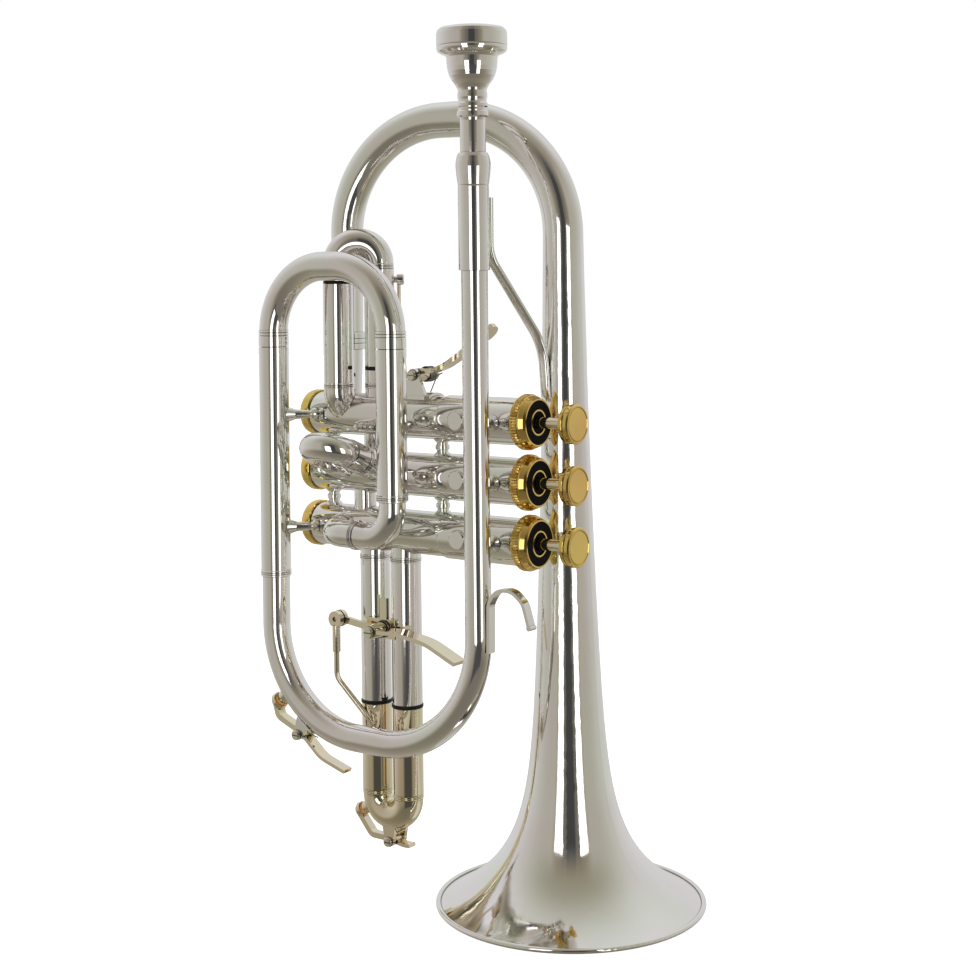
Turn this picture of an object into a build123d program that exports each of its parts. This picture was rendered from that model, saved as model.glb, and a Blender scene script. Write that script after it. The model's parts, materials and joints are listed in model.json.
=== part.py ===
"""A B-flat cornet with a shepherd's crook, as an assembly of separate pieces, in millimetres.

The origin is the centre of the bell's mouth, on the flat of its rim. +Z runs up the bell's axis to the
mouthpiece, +X along the valves to the finger buttons, and -Y to the side with the leadpipe.
Positions are written as (v, s, z): v is +X, s is -Y, and z is +Z.
"""
from build123d import *
import math
import os

os.makedirs("parts", exist_ok=True)

# ---- the bell
RIM_RADIUS = 60.3          # outside radius of the rolled rim
RIM_BEAD = 1.1             # radius of the wire inside the rolled rim
BELL_WALL = 0.7
STEM_TOP = 293.0           # where the straight bell stem meets the crook
STEM_RADIUS = 9.1          # outside radius of the stem at its top
STEM_SLOPE = 0.0143        # gain in radius per mm down the stem
STEM_CURVE = 7.3e-5        # and how that gain grows
FLARE_GAIN = 40.6          # extra radius of the flare at the rim
FLARE_LENGTH = 19.4        # height over which the flare falls to 1/e

# ---- the crook, from the stem over to the first valve
CROOK_TOP = 352.7          # height of its centre line at the top
CROOK_LEG = (-112.8, 16.5)  # v and s of the leg that comes down to the valves
CROOK_NEAR_BEND = 54.0
CROOK_FAR_BEND = 52.0
CROOK_LEG_RADIUS = 7.2
CROOK_WALL = 0.7

# ---- the valves, on axes along v
VALVE_PITCH = 26.4
MIDDLE_VALVE_Z = 189.7
VALVE_S = 24.7
CASING_RADIUS = 9.9
CASING_UPPER_RADIUS = 10.5
CASING_SEAM = -45.9
BORE_RADIUS = 8.5
BOSS_V = -34.7             # the round boss on the front of each casing
CASING_TOP = 0.1
CASING_BOTTOM = -126.4
CAP_FACE = 2.6            # the felt's face on a top cap
TOP_CAP_RADIUS = 12.3
BOTTOM_CAP_RADIUS = 10.75
VALVE_END = -128.4         # the outside of a bottom cap
STEM_ROD = 2.5
BUTTON_RADIUS = 8.7
BUTTON_BACK = 17.2
PISTON_TOP = -1.3
PISTON_BOTTOM = -111.8
BARREL_END = -59.0         # where the spring barrel meets the ported body
GUIDE_V = -57.3            # underside of the key guide

# ---- tubes in the leadpipe's plane
LEAD_S = 47.1
LEAD_V = -14.8
LEAD_RADIUS = 5.75
FAR_LEG_V = -132.7         # left leg of the bottom bow and of the tuning slide
NEAR_LEG_V = -61.7         # the tuning slide's other leg
BOW_BOTTOM = 71.0          # height of the bottom bow's centre line
BOW_RADIUS = 6.5
BOW_START = 133.0
BOW_END = 140.5
BOW_NEAR_BEND = 54.0
BOW_FAR_BEND = 48.0
TUBE_WALL = 0.8
SLEEVE_RADIUS = 7.0        # outside of an outer slide tube
SLIDE_BORE = 5.95          # inside of an outer slide tube
INNER_RADIUS = 5.9         # outside of an inner slide tube
INNER_WALL = 0.6
TUNING_JOINT = 247.9       # the outer tubes end here
TUNING_TOP = 285.5         # centre line of the tuning slide's bow
TUNING_BEND = 31.0
TUNING_BOW_RADIUS = 6.7
TUNING_FERRULE_BORE = 5.4
NEAR_LEG_END = 180.0
INLET_V = -101.9           # port where the inlet elbow meets the third valve

# ---- mouthpiece and receiver
RECEIVER_END = 282.7
MOUTHPIECE_TOP = 387.2

# ---- valve slides: v and s of each leg
FIRST_FAR = (-104.4, 33.3)
FIRST_NEAR = (-88.1, 22.8)
FIRST_FAR_END = 277.2
FIRST_NEAR_END = 236.9
FIRST_BEND_Z = 286.6
THIRD_FAR = (-90.7, VALVE_S)
THIRD_NEAR = (-72.4, VALVE_S)
THIRD_END = 84.0
THIRD_BEND_Z = 40.2
LINK_V = (-89.9, -96.3)    # the short tubes between valves 1 and 2, and between 2 and 3
# v of each way through a piston, and whether it runs along s
PASSAGES = ((-104.0, True), (-89.0, False), (-74.0, True))
SECOND_V = (-101.6, -83.2)
SECOND_TILT = 22.0         # degrees that the second slide rises above +s
SECOND_END = 20.5          # along the slide, from the valve's axis
SECOND_BEND = 29.4
BUMPER = 1.5               # thickness of a rubber bumper ring
JOINT_GAP = 0.35           # gap between a slide and its seat

TAIL_ROUTE = [Vector(CROOK_LEG[0], -CROOK_LEG[1], 246), Vector(CROOK_LEG[0], -CROOK_LEG[1], 239),
              Vector(-110.2, -21.0, 219)]
CASING_Z = [MIDDLE_VALVE_Z + VALVE_PITCH * (1 - n) for n in range(3)]
TILT = math.radians(SECOND_TILT)


def at(v, s, z):
    """The point at (v, s, z) in the row's own axes."""
    return Vector(v, -s, z)


def save(name, *solids):
    """Writes one node from one solid or several."""
    pieces = [piece for solid in solids for piece in solid.solids()]
    export_step(Compound(children=pieces), f"parts/{name}.step")


def route(points, bends):
    """A path through points with a tangent arc of the given radius at each inner point."""
    if len(points) == 2:
        return Line(*points)
    return FilletPolyline(*points, radius=bends)


def swept(path, outer, inner=0):
    """A round rod, or a tube, of constant radius along a path."""
    start = Plane(origin=path @ 0, z_dir=path % 0)
    rod = sweep(start * Circle(outer), path=path)
    if inner:
        rod -= sweep(start * Circle(inner), path=path)
    return rod


def tube(points, outer, wall, bends=()):
    """A tube of constant radius through points."""
    return swept(route(points, bends), outer, outer - wall)


def tapered(path, outer_start, outer_end, wall):
    """A tube along a path whose radius changes evenly with length."""
    total = path.length
    done = 0
    body = None
    for edge in path.edges():
        radii = [outer_start + (outer_end - outer_start) * d / total for d in (done, done + edge.length)]
        ends = [Plane(origin=edge @ k, z_dir=edge % k) for k in (0, 1)]
        outer = sweep([ends[k] * Circle(radii[k]) for k in (0, 1)], path=edge, multisection=True)
        inner = sweep([ends[k] * Circle(radii[k] - wall) for k in (0, 1)], path=edge, multisection=True)
        body = outer - inner if body is None else body + (outer - inner)
        done += edge.length
    return body


def turned(profile, base, direction):
    """A solid of revolution from a profile of (radius, height) points. Heights run along direction from base."""
    outline = Polyline(*[(radius, 0, height) for radius, height in profile], close=True)
    solid = revolve(make_face(outline), Axis.Z)
    return Plane(origin=base, z_dir=direction).location * solid


def rod(start, end, radius):
    """A plain round rod between two points."""
    axis = end - start
    return turned([(0, 0), (radius, 0), (radius, axis.length), (0, axis.length)], start, axis)


def ringed(start, end, radius, bore):
    """A short ferrule with two shallow grooves, between two points."""
    axis = end - start
    long = axis.length
    groove = 0.3
    profile = [(bore, 0), (radius - groove, 0), (radius, groove)]
    for middle in (long * 0.36, long * 0.64):
        profile += [(radius, middle - groove), (radius - groove, middle), (radius, middle + groove)]
    profile += [(radius, long - groove), (radius - groove, long), (bore, long)]
    return turned(profile, start, axis)


def scoring(middle, way, radius):
    """The ring that a shallow V-groove takes out of a tube of the given radius."""
    return turned([(radius - 0.35, 0), (radius + 0.1, -0.45), (radius + 0.1, 0.45)], middle, way)


def along_v(profile, z, base=0.0):
    """A turned solid on a valve's axis. Heights are measured towards the buttons from v = base."""
    return turned(profile, at(base, VALVE_S, z), Vector(1, 0, 0))


def plug(radius, low, high, z):
    """A plain cylinder on a valve's axis."""
    return along_v([(0, low), (radius, low), (radius, high), (0, high)], z)


def casing_block(z):
    """The solid envelope of one valve casing, used to trim what meets it."""
    return plug(CASING_RADIUS, CASING_BOTTOM, CASING_TOP, z)


def bell_radius(z):
    """Outside radius of the bell at a height above its rim."""
    drop = STEM_TOP - z
    return STEM_RADIUS + STEM_SLOPE * drop + STEM_CURVE * drop ** 2 + FLARE_GAIN * math.exp(-z / FLARE_LENGTH)


def bell_slope(z):
    """Change of that radius with height."""
    drop = STEM_TOP - z
    return -STEM_SLOPE - 2 * STEM_CURVE * drop - FLARE_GAIN / FLARE_LENGTH * math.exp(-z / FLARE_LENGTH)


def bell_section(wall):
    """Points down the bell's surface, moved in by a wall thickness."""
    heights = (0.6, 3, 7, 12, 20, 31, 46, 68, 100, 145, 200, STEM_TOP)
    points = []
    for z in heights:
        slope = bell_slope(z)
        norm = math.sqrt(1 + slope ** 2)
        points.append((bell_radius(z) - wall / norm, 0, z + wall * slope / norm))
    points[-1] = (STEM_RADIUS - wall, 0, STEM_TOP)
    return points


def bell_solid(wall):
    """The bell as a solid of revolution: a shell of the given wall, or filled for a wall of nothing."""
    outer = bell_section(0)
    if wall:
        inner = bell_section(wall)
        edges = [Spline(*outer), Line(outer[-1], inner[-1]), Spline(*inner), Line(inner[0], outer[0])]
    else:
        top, low = (0, 0, STEM_TOP), (0, 0, outer[0][2])
        edges = [Spline(*outer), Line(outer[-1], top), Line(top, low), Line(low, outer[0])]
    return revolve(make_face(edges), Axis.Z)


# ---- bell, rim and crook
def rim_wire():
    """The rolled rim, with a narrow flat at z = 0 for the bell to stand on."""
    bead = Torus(RIM_RADIUS - RIM_BEAD, RIM_BEAD)
    return Pos(0, 0, 0.85) * bead


def build_bell():
    rim = rim_wire()
    save("bell_flare", bell_solid(BELL_WALL) - rim)
    save("bell_rim", rim - Pos(0, 0, -5) * Box(140, 140, 10))
    leg_v, leg_s = CROOK_LEG
    corners = [at(0, 0, STEM_TOP), at(0, 0, CROOK_TOP), at(leg_v, leg_s, CROOK_TOP), at(leg_v, leg_s, 254)]
    path = route(corners, [CROOK_NEAR_BEND, CROOK_FAR_BEND])
    save("bell_crook", tapered(path, STEM_RADIUS, CROOK_LEG_RADIUS, CROOK_WALL))
    save("bell_tail_ferrule", ringed(at(leg_v, leg_s, 246), at(leg_v, leg_s, 254), 8.1, CROOK_LEG_RADIUS - 1.2))
    save("bell_tail", tube(TAIL_ROUTE, 6.8, TUBE_WALL, [16]) - casing_block(CASING_Z[0]))


# ---- leadpipe, receiver and bows
def build_leadpipe():
    top = RECEIVER_END + 14
    save("leadpipe", tube([at(LEAD_V, LEAD_S, top), at(LEAD_V, LEAD_S, BOW_START)], LEAD_RADIUS, TUBE_WALL))
    corners = [at(LEAD_V, LEAD_S, BOW_START), at(LEAD_V, LEAD_S, BOW_BOTTOM), at(FAR_LEG_V, LEAD_S, BOW_BOTTOM),
               at(FAR_LEG_V, LEAD_S, BOW_END)]
    path = route(corners, [BOW_NEAR_BEND, BOW_FAR_BEND])
    save("bottom_bow", tapered(path, LEAD_RADIUS, BOW_RADIUS, TUBE_WALL))
    bulb = [(LEAD_RADIUS + 0.02, 0), (6.75, 0), (6.75, 36), (6.6, 36.4), (6.75, 36.8), (7.3, 41), (7.6, 44.5),
            (7.55, 46.5), (7.0, 49), (6.2, 50.5), (5.62, 50.5), (5.0, 27), (4.4, 14), (LEAD_RADIUS + 0.02, 14)]
    save("mouthpiece_receiver", turned(bulb, at(LEAD_V, LEAD_S, RECEIVER_END), Vector(0, 0, 1)))


def build_mouthpiece():
    """The cup, throat and backbore, with its rim, its beads and its shank."""
    outside = [(8.3, -0.45), (9.8, -0.1), (11.8, 0.0), (13.8, -0.4), (14.9, -1.4), (15.3, -2.8), (15.35, -8.0),
               (15.1, -8.4), (15.3, -8.8), (15.2, -9.6), (14.9, -10.4), (13.6, -11.3), (11.6, -12.0), (11.1, -13.0),
               (10.95, -15.4), (10.75, -17.3), (10.4, -19.1), (9.8, -21.0), (8.8, -22.8), (7.45, -24.6), (6.5, -26.3),
               (6.2, -27.3), (6.45, -28.6), (6.45, -30.2), (6.15, -31.2), (6.1, -32.2), (6.7, -32.9), (6.7, -34.1),
               (6.1, -34.7), (6.1, -35.6), (6.85, -36.4), (6.85, -38.2), (5.9, -39.0), (5.6, -40.1), (5.5, -54.2),
               (4.83, -78.6)]
    inside = [(4.2, -78.6), (3.4, -64.0), (2.4, -34.0), (1.9, -22.0), (1.9, -17.5), (3.2, -14.0), (5.8, -10.0),
              (7.6, -5.0), (8.2, -2.0)]
    body = turned(outside + inside, at(LEAD_V, LEAD_S, MOUTHPIECE_TOP), Vector(0, 0, 1))
    save("mouthpiece", body)


def build_tuning():
    """The two outer tubes, the sliding bow and the elbow into the third valve."""
    outers = []
    for v, low in ((FAR_LEG_V, BOW_END), (NEAR_LEG_V, NEAR_LEG_END)):
        sleeve = tube([at(v, LEAD_S, low + 3), at(v, LEAD_S, TUNING_JOINT)], SLEEVE_RADIUS, SLEEVE_RADIUS - SLIDE_BORE)
        collar = ringed(at(v, LEAD_S, low), at(v, LEAD_S, low + 3), SLEEVE_RADIUS + 0.25, SLIDE_BORE)
        outers.append(sleeve + collar)
    save("tuning_outer_tubes", *outers)

    bend_start = TUNING_TOP - TUNING_BEND
    corners = [at(FAR_LEG_V, LEAD_S, bend_start - 1), at(FAR_LEG_V, LEAD_S, TUNING_TOP), at(NEAR_LEG_V, LEAD_S, TUNING_TOP),
               at(NEAR_LEG_V, LEAD_S, bend_start - 1)]
    slide = tube(corners, TUNING_BOW_RADIUS, TUBE_WALL, [TUNING_BEND, TUNING_BEND])
    seat = TUNING_JOINT + JOINT_GAP
    for v in (FAR_LEG_V, NEAR_LEG_V):
        slide += tube([at(v, LEAD_S, seat), at(v, LEAD_S, bend_start + 1.4)], SLEEVE_RADIUS,
                      SLEEVE_RADIUS - TUNING_FERRULE_BORE)
        slide += tube([at(v, LEAD_S, seat - 42), at(v, LEAD_S, seat + 1)], INNER_RADIUS, INNER_WALL)
        for height in (bend_start - 1.2, bend_start + 0.2):
            slide -= scoring(at(v, LEAD_S, height), Vector(0, 0, 1), SLEEVE_RADIUS)
    save("main_tuning_slide", slide)

    port_z = CASING_Z[2]
    path = [at(NEAR_LEG_V, LEAD_S, NEAR_LEG_END), at(NEAR_LEG_V, LEAD_S, port_z), at(INLET_V, LEAD_S, port_z),
            at(INLET_V, VALVE_S, port_z)]
    elbow = tube(path, 6.2, TUBE_WALL, [13.5, 12.5])
    elbow += ringed(at(-84.0, LEAD_S, port_z), at(-81.0, LEAD_S, port_z), 6.75, 5.9)
    elbow += ringed(at(INLET_V, 33.3, port_z), at(INLET_V, 35.6, port_z), 7.2, 5.9)
    save("inlet_elbow", elbow - casing_block(port_z))


# ---- valves
def serrated(radius, depth, teeth, low, high, z):
    """A band round an axis along v whose edge is cut into fine teeth."""
    points = []
    for k in range(2 * teeth):
        angle = math.pi * k / teeth
        reach = radius - (depth if k % 2 else 0)
        points.append((reach * math.cos(angle), reach * math.sin(angle)))
    face = make_face(Polyline(*points, close=True))
    return Plane(origin=at(low, VALVE_S, z), z_dir=Vector(1, 0, 0)).location * extrude(face, high - low)


def build_casing(number, z, ports):
    """One valve casing: a bored tube, wider above its seam, with a hole for each tube that joins it."""
    profile = [(BORE_RADIUS, CASING_BOTTOM), (9.2, CASING_BOTTOM), (9.2, CASING_BOTTOM + 4.1),
               (CASING_RADIUS, CASING_BOTTOM + 4.1), (CASING_RADIUS, CASING_SEAM - 0.8), (CASING_UPPER_RADIUS, CASING_SEAM),
               (CASING_UPPER_RADIUS, CASING_TOP - 5.3), (CASING_RADIUS, CASING_TOP - 5.3), (CASING_RADIUS, CASING_TOP),
               (BORE_RADIUS, CASING_TOP)]
    casing = along_v(profile, z)
    boss = turned([(0, 9.0), (4.4, 9.0), (4.4, 11.2), (3.9, 11.6), (0, 11.6)], at(BOSS_V, VALVE_S, z), Vector(0, -1, 0))
    casing += boss - plug(BORE_RADIUS + 0.7, BOSS_V - 9, BOSS_V + 9, z)
    for start, end, radius in ports:
        casing -= rod(start, end, radius)
    save(f"valve_casing_{number}", casing)


def build_caps():
    """The top caps with their felts, and the bottom caps."""
    tops, felts, bottoms = [], [], []
    for z in CASING_Z:
        shape = [(CASING_RADIUS + 0.02, -7.7), (11.7, -7.7), (11.9, -7.2), (11.9, -3.7), (11.8, -3.0), (11.0, -1.0),
                 (10.4, 0), (9.75, 0), (9.75, -1.5), (5.7, -1.5), (5.7, 0), (5.0, 0), (5.0, -1.5), (2.65, -1.5),
                 (2.65, CASING_TOP - CAP_FACE), (CASING_RADIUS + 0.02, CASING_TOP - CAP_FACE)]
        band = serrated(TOP_CAP_RADIUS, 0.45, 60, CAP_FACE - 7.0, CAP_FACE - 3.9, z)
        tops.append(along_v(shape, z, CAP_FACE) + (band - plug(11.5, -7, 0, z)))
        felts.append(along_v([(5.75, -1.5), (9.7, -1.5), (9.7, -0.1), (5.75, -0.1)], z, CAP_FACE))
        felts.append(along_v([(2.9, -1.5), (4.95, -1.5), (4.95, -0.65), (2.9, -0.65)], z, CAP_FACE))
        shape = [(9.22, 6.0), (BOTTOM_CAP_RADIUS - 0.3, 6.0), (BOTTOM_CAP_RADIUS, 5.6), (BOTTOM_CAP_RADIUS, 2.4),
                 (10.2, 0.8), (8.6, 0), (5.2, 0), (4.4, 0.5), (1.2, 0.5), (1.2, 1.5), (7.4, 1.5), (7.4, 2.0), (9.22, 2.0)]
        bottoms.append(along_v(shape, z, VALVE_END))
    save("top_caps", *tops)
    save("cap_felts", *felts)
    save("bottom_caps", *bottoms)


def build_piston(number, z):
    """One piston: a ported body under a spring barrel whose slots let the guide's keys through."""
    radius = BORE_RADIUS - 0.05
    shell = [(0, PISTON_TOP), (radius, PISTON_TOP), (radius, PISTON_BOTTOM), (0, PISTON_BOTTOM), (0, PISTON_BOTTOM + 0.8),
             (7.8, PISTON_BOTTOM + 0.8), (7.8, BARREL_END - 1.5), (0, BARREL_END - 1.5), (0, BARREL_END), (7.6, BARREL_END),
             (7.6, PISTON_TOP - 2.5), (0, PISTON_TOP - 2.5)]
    body = along_v(shell, z)
    for v, across in PASSAGES:
        reach = at(0, 12, 0) if across else at(0, 0, 12)
        middle = at(v, VALVE_S, z)
        body += rod(middle - reach, middle + reach, 5.6) & plug(radius, PISTON_BOTTOM, PISTON_TOP, z)
        body -= rod(middle - reach, middle + reach, 5.0)
    body -= Pos(*at(BARREL_END + 11.5, VALVE_S, z)) * Box(21, 30, 3.2)
    save(f"piston_{number}", body)


def build_stem(number, z):
    """One valve stem and the finger button on it."""
    stem = [(0, PISTON_TOP), (STEM_ROD, PISTON_TOP), (STEM_ROD, BUTTON_BACK + 0.1), (1.6, BUTTON_BACK + 0.1),
            (1.6, BUTTON_BACK + 3.5), (0, BUTTON_BACK + 3.5)]
    save(f"valve_stem_{number}", along_v(stem, z))
    cap = [(STEM_ROD + 0.02, -0.7), (3.6, -0.7), (3.9, 0), (7.5, 0), (8.3, 0.6), (8.3, 2.0), (8.0, 2.3), (8.3, 2.6),
           (BUTTON_RADIUS, 3.3), (BUTTON_RADIUS, 4.9), (8.25, 5.6), (7.6, 5.7), (7.3, 5.4), (7.0, 5.6), (0, 5.6), (0, 3.5),
           (1.62, 3.5), (1.62, 0.1), (STEM_ROD + 0.02, 0.1)]
    save(f"finger_button_{number}", along_v(cap, z, BUTTON_BACK))


def build_spring(number, z):
    """The return spring inside one piston's barrel, between the key guide and the barrel's top."""
    low, high = GUIDE_V + 1.9, PISTON_TOP - 2.7
    turns, coil, wire = 8, 5.6, 0.55
    pitch = (high - low - 2 * wire) / turns
    path = Helix(pitch=pitch, height=pitch * turns, radius=coil)
    wound = sweep(Plane(origin=path @ 0, z_dir=path % 0) * Circle(wire), path=path, is_frenet=True)
    save(f"valve_spring_{number}", Plane(origin=at(low + wire, VALVE_S, z), z_dir=Vector(1, 0, 0)).location * wound)


def build_guides():
    """The three key guides, each a washer whose two keys pass through the barrel's slots."""
    guides = []
    for z in CASING_Z:
        keys = Pos(*at(GUIDE_V + 0.9, VALVE_S, z)) * Box(1.8, 30, 2.6)
        guides.append(plug(7.4, GUIDE_V, GUIDE_V + 1.8, z) + (keys & plug(BORE_RADIUS - 0.01, -80, -30, z)))
    save("valve_guides", *guides)


# ---- slides on the valves
def straight_leg(v, s, low, high, radius, wall):
    return tube([at(v, s, low), at(v, s, high)], radius, wall)


def build_first_slide():
    block = casing_block(CASING_Z[0])
    bend = 223.5
    knuckle = [at(*FIRST_FAR, FIRST_FAR_END), at(*FIRST_FAR, bend),
               at(FIRST_FAR[0], VALVE_S, bend - (FIRST_FAR[1] - VALVE_S))]
    wall = SLEEVE_RADIUS - SLIDE_BORE
    far = tube(knuckle, SLEEVE_RADIUS, wall, [9.5])
    far += ringed(at(*FIRST_FAR, 228.5), at(*FIRST_FAR, 231), 7.3, SLIDE_BORE)
    near = straight_leg(*FIRST_NEAR, CASING_Z[0], FIRST_NEAR_END, SLEEVE_RADIUS, wall)
    near += ringed(at(*FIRST_NEAR, 228.5), at(*FIRST_NEAR, 231), 7.3, SLIDE_BORE)
    save("first_slide_outer_tubes", far - block, near - block)

    far_seat = FIRST_FAR_END + BUMPER + JOINT_GAP
    near_seat = FIRST_NEAR_END + BUMPER + JOINT_GAP
    top = FIRST_BEND_Z
    half_span = math.dist(FIRST_FAR, FIRST_NEAR) / 2
    peak = ((FIRST_FAR[0] + FIRST_NEAR[0]) / 2, (FIRST_FAR[1] + FIRST_NEAR[1]) / 2, top + half_span)
    bow = swept(ThreePointArc(at(*FIRST_FAR, top), at(*peak), at(*FIRST_NEAR, top)), 6.8, 6.0)
    slide = bow + ringed(at(*FIRST_FAR, top - 2.6), at(*FIRST_FAR, top), SLEEVE_RADIUS, 6.0)
    slide += ringed(at(*FIRST_NEAR, top - 2.6), at(*FIRST_NEAR, top), SLEEVE_RADIUS, 6.0)
    slide += straight_leg(*FIRST_FAR, far_seat, top - 2.6, SLEEVE_RADIUS, 1.2)
    slide += straight_leg(*FIRST_NEAR, near_seat, top - 2.6, SLEEVE_RADIUS, 1.2)
    slide += straight_leg(*FIRST_FAR, 236, far_seat + 1, INNER_RADIUS, INNER_WALL)
    slide += straight_leg(*FIRST_NEAR, 227.4, near_seat + 1, INNER_RADIUS, INNER_WALL)
    knob = [(0, 6.5), (1.5, 6.5), (1.5, 8.0), (2.6, 8.4), (2.6, 11.0), (2.0, 11.6), (0, 11.6)]
    slide += turned(knob, at(*FIRST_NEAR, 279), KNOB_WAY)
    save("first_slide", slide - rod(at(*TRIGGER_1_ROD, 270), at(*TRIGGER_1_ROD, 279.6), 0.92))
    rings = [ringed(at(*FIRST_FAR, FIRST_FAR_END + 0.1), at(*FIRST_FAR, far_seat), SLEEVE_RADIUS, INNER_RADIUS),
             ringed(at(*FIRST_NEAR, FIRST_NEAR_END + 0.1), at(*FIRST_NEAR, near_seat), 7.25, INNER_RADIUS)]
    save("first_slide_bumpers", *rings)


def second_point(v, reach):
    """A point on the second slide's plane, at a distance along it from the valve's axis."""
    return at(v, VALVE_S + reach * math.cos(TILT), CASING_Z[1] + reach * math.sin(TILT))


def build_second_slide():
    block = casing_block(CASING_Z[1])
    outers = []
    middle = sum(SECOND_V) / 2
    half = abs(SECOND_V[1] - SECOND_V[0]) / 2
    seat = SECOND_END + JOINT_GAP
    for v in SECOND_V:
        outer = tube([second_point(v, 2), second_point(v, SECOND_END)], 6.7, 0.9) - block
        outer += ringed(second_point(v, SECOND_END - 2.6), second_point(v, SECOND_END), 6.95, 5.8)
        outers.append(outer)
    arc = ThreePointArc(second_point(SECOND_V[0], SECOND_BEND), second_point(middle, SECOND_BEND + half),
                        second_point(SECOND_V[1], SECOND_BEND))
    slide = swept(arc, 6.3, 5.5)
    for v in SECOND_V:
        slide += tube([second_point(v, seat), second_point(v, SECOND_BEND)], 6.7, 1.2)
        slide += tube([second_point(v, SECOND_END - 9.5), second_point(v, seat + 1)], 5.75, 0.6)
    knob = [(0, 5.9), (1.6, 5.9), (1.6, 7.6), (2.9, 8.4), (3.1, 9.6), (2.4, 10.8), (0, 11.2)]
    slide += turned(knob, second_point(middle, SECOND_BEND + half), Vector(0, math.sin(TILT), -math.cos(TILT)))
    save("second_slide_outer_tubes", *outers)
    save("second_slide", slide)


def build_third_slide():
    block = casing_block(CASING_Z[2])
    wall = SLEEVE_RADIUS - SLIDE_BORE
    outers, rings = [], []
    seat = THIRD_END - BUMPER - JOINT_GAP
    for leg in (THIRD_FAR, THIRD_NEAR):
        outer = straight_leg(*leg, THIRD_END, CASING_Z[2], SLEEVE_RADIUS, wall) - block
        outer += ringed(at(*leg, 149.0), at(*leg, 151.6), 7.3, SLIDE_BORE)
        outers.append(outer)
        rings.append(ringed(at(*leg, seat), at(*leg, THIRD_END - 0.1), 7.35, INNER_RADIUS))
    save("third_slide_outer_tubes", *outers)
    save("third_slide_bumpers", *rings)
    half = (THIRD_NEAR[0] - THIRD_FAR[0]) / 2
    middle = THIRD_FAR[0] + half
    low = THIRD_BEND_Z
    arc = ThreePointArc(at(*THIRD_FAR, low), at(middle, VALVE_S, low - half), at(*THIRD_NEAR, low))
    slide = swept(arc, 6.8, 6.0)
    for leg in (THIRD_FAR, THIRD_NEAR):
        slide += ringed(at(*leg, low), at(*leg, low + 2.4), SLEEVE_RADIUS, 6.0)
        slide += straight_leg(*leg, low + 2.4, seat, SLEEVE_RADIUS, 1.2)
        slide += straight_leg(*leg, seat - 1, 129, INNER_RADIUS, INNER_WALL)
    nipple_way = Vector(math.cos(KEY_2_NIPPLE), 0, math.sin(KEY_2_NIPPLE))
    bend = at(middle, VALVE_S, low)
    slide += rod(bend + nipple_way * 15.0, bend + nipple_way * KEY_2_REACH, 2.9)
    save("third_slide", slide)


# ---- tubes and braces between the valves
def build_links():
    tubes, posts = [], []
    for upper, v in enumerate(LINK_V):
        link = tube([at(v, VALVE_S, CASING_Z[upper]), at(v, VALVE_S, CASING_Z[upper + 1])], 5.2, 0.8)
        tubes.append(link - casing_block(CASING_Z[upper]) - casing_block(CASING_Z[upper + 1]))
        for post_v in (-50.4, -115.6):
            shape = [(0, 0), (4.2, 9.4), (3.6, 10.4), (2.7, 11.1), (2.7, 11.9), (3.3, 12.4), (3.3, 14.0), (2.7, 14.5),
                     (2.7, 15.3), (3.6, 16.0), (4.2, 17.0), (0, VALVE_PITCH)]
            post = turned(shape, at(post_v, VALVE_S, CASING_Z[upper + 1]), Vector(0, 0, 1))
            posts.append(post - casing_block(CASING_Z[upper]) - casing_block(CASING_Z[upper + 1]))
    save("crossover_tubes", *tubes)
    save("casing_balusters", *posts)


def strut(start, end, radius, wide_foot, foot):
    """A brace post: a wide flared foot at its start, a neck, a ball and a small foot at its end."""
    axis = end - start
    long = axis.length
    ball = long - 4.4
    shape = [(0, 0), (wide_foot, 0), (wide_foot, 1.2), (radius * 1.25, 5.0), (radius, ball - 3.4)]
    for angle in (-55, -25, 0, 25, 55):
        shape.append((3.0 * math.cos(math.radians(angle)), ball + 2.4 * math.sin(math.radians(angle))))
    shape += [(foot, long - 1.2), (foot, long), (0, long)]
    return turned(shape, start, axis)


def build_braces():
    lead = rod(at(LEAD_V, LEAD_S, 300), at(LEAD_V, LEAD_S, BOW_START), LEAD_RADIUS)
    posts = []
    for z in CASING_Z:
        whole = rod(at(LEAD_V, LEAD_S, z), at(LEAD_V, VALVE_S, z), 1.9)
        whole += turned([(0, 5.2), (3.4, 5.2), (3.4, 6.6), (2.0, 7.4), (2.0, 8.6), (2.7, 9.2), (2.0, 9.8), (2.0, 10.6),
                         (3.4, 11.4), (3.4, 13.4), (0, 13.4)], at(LEAD_V, LEAD_S, z), Vector(0, 1, 0))
        posts.append(whole - lead - plug(CASING_UPPER_RADIUS, -40, 0, z))
    save("leadpipe_braces", *posts)

    leg = rod(at(FAR_LEG_V, LEAD_S, 130), at(FAR_LEG_V, LEAD_S, 250), SLEEVE_RADIUS)
    posts = []
    for index in (0, 2):
        z = CASING_Z[index]
        posts.append(strut(at(-128.6, 44.3, z), at(-114.3, 33.2, z), 1.9, 3.7, 2.9) - leg - casing_block(z))
    save("bow_braces", *posts)


def build_crook_brace():
    """The oval bar that runs from the receiver down to the bell stem."""
    span = math.hypot(LEAD_V, LEAD_S)
    way = Vector(-LEAD_V, LEAD_S, 0) / span

    def on_plane(across, z):
        return at(LEAD_V, LEAD_S, z) + way * across

    low_reach = span - 10.9
    corners = [on_plane(7.8, 314), on_plane(7.8, 289), on_plane(low_reach - 1.5, 249), on_plane(low_reach, 226)]
    path = route(corners, [16, 30])
    flat = Plane(origin=path @ 0, x_dir=way, z_dir=path % 0)
    bar = sweep(flat * Ellipse(1.7, 3.0), path=path)
    receiver = rod(at(LEAD_V, LEAD_S, 281), at(LEAD_V, LEAD_S, 334), 6.76)
    save("crook_brace", bar - receiver - bell_solid(0))


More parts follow.
